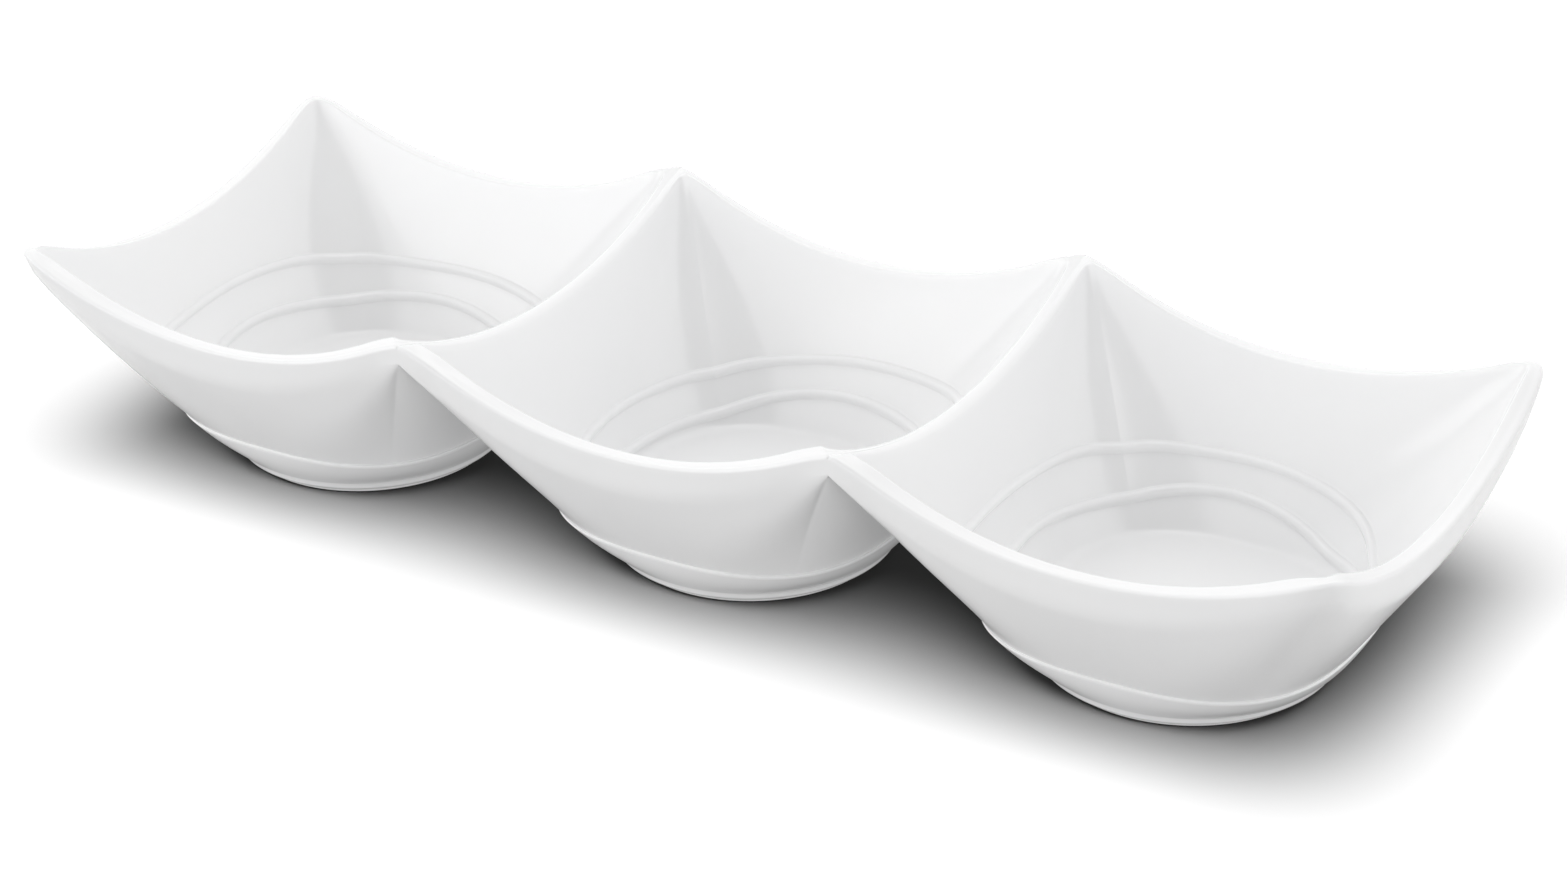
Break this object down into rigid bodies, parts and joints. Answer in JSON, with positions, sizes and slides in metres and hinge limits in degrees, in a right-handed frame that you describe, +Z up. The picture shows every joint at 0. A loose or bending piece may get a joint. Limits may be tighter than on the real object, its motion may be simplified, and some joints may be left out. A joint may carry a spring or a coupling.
{
  "type": "chip and dip server",
  "caption": "Serving dish of square bowls in one row, with high pointed corners and dipping rims, each bowl on a round foot, for chips, dips and snacks.",
  "frame": {"origin": "on the table plane, at the centre of the footprint, under the middle bowl", "axes": "+X along the row of bowls, -Y towards the front, +Z up"},
  "size_m": [0.382, 0.1316, 0.069],
  "materials": {
    "white_gloss": "gloss moulded melamine, plain white"
  },
  "bodies": {
    "root": {"left_bowl": "white_gloss", "middle_bowl": "white_gloss", "right_bowl": "white_gloss"}
  },
  "joints": []
}
